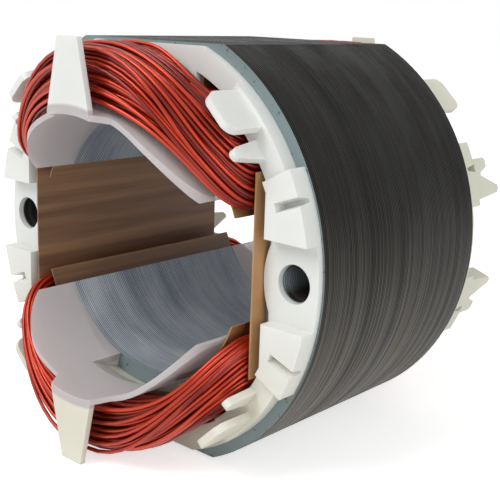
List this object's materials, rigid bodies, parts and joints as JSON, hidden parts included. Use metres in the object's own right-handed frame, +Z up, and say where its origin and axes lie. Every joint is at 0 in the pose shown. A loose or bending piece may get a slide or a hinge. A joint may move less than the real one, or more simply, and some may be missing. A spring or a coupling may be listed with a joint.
{
  "type": "wound universal-motor field stator with lamination stack",
  "caption": "Stator of a small two-pole universal motor: flatted round lamination stack with moulded nylon end insulators, enamelled field coils and paper slot liners.",
  "frame": {"origin": "on the axis of the rotor bore, midway along the stack, which is the centre of the bounding box", "axes": "Y along the rotor bore, the front end insulator with the low pockets at -Y and the rear one with the forked pockets at +Y; Z up through the middles of both poles and square to the flats; X to the right through both screw holes"},
  "size_m": [0.092, 0.0936, 0.084],
  "materials": {
    "lamination_steel": "bare silicon-steel sheet edges with a thin dark varnish",
    "nylon": "natural white moulded nylon, satin",
    "enamelled_wire": "copper wire under red varnish, glossy",
    "slot_paper": "brown pressed slot paper, smooth"
  },
  "bodies": {
    "root": {"lamination_stack": "lamination_steel", "front_end_insulator": "nylon", "rear_end_insulator": "nylon", "upper_field_coil": "enamelled_wire", "lower_field_coil": "enamelled_wire", "slot_liner_left": "slot_paper", "slot_liner_right": "slot_paper"}
  },
  "joints": []
}
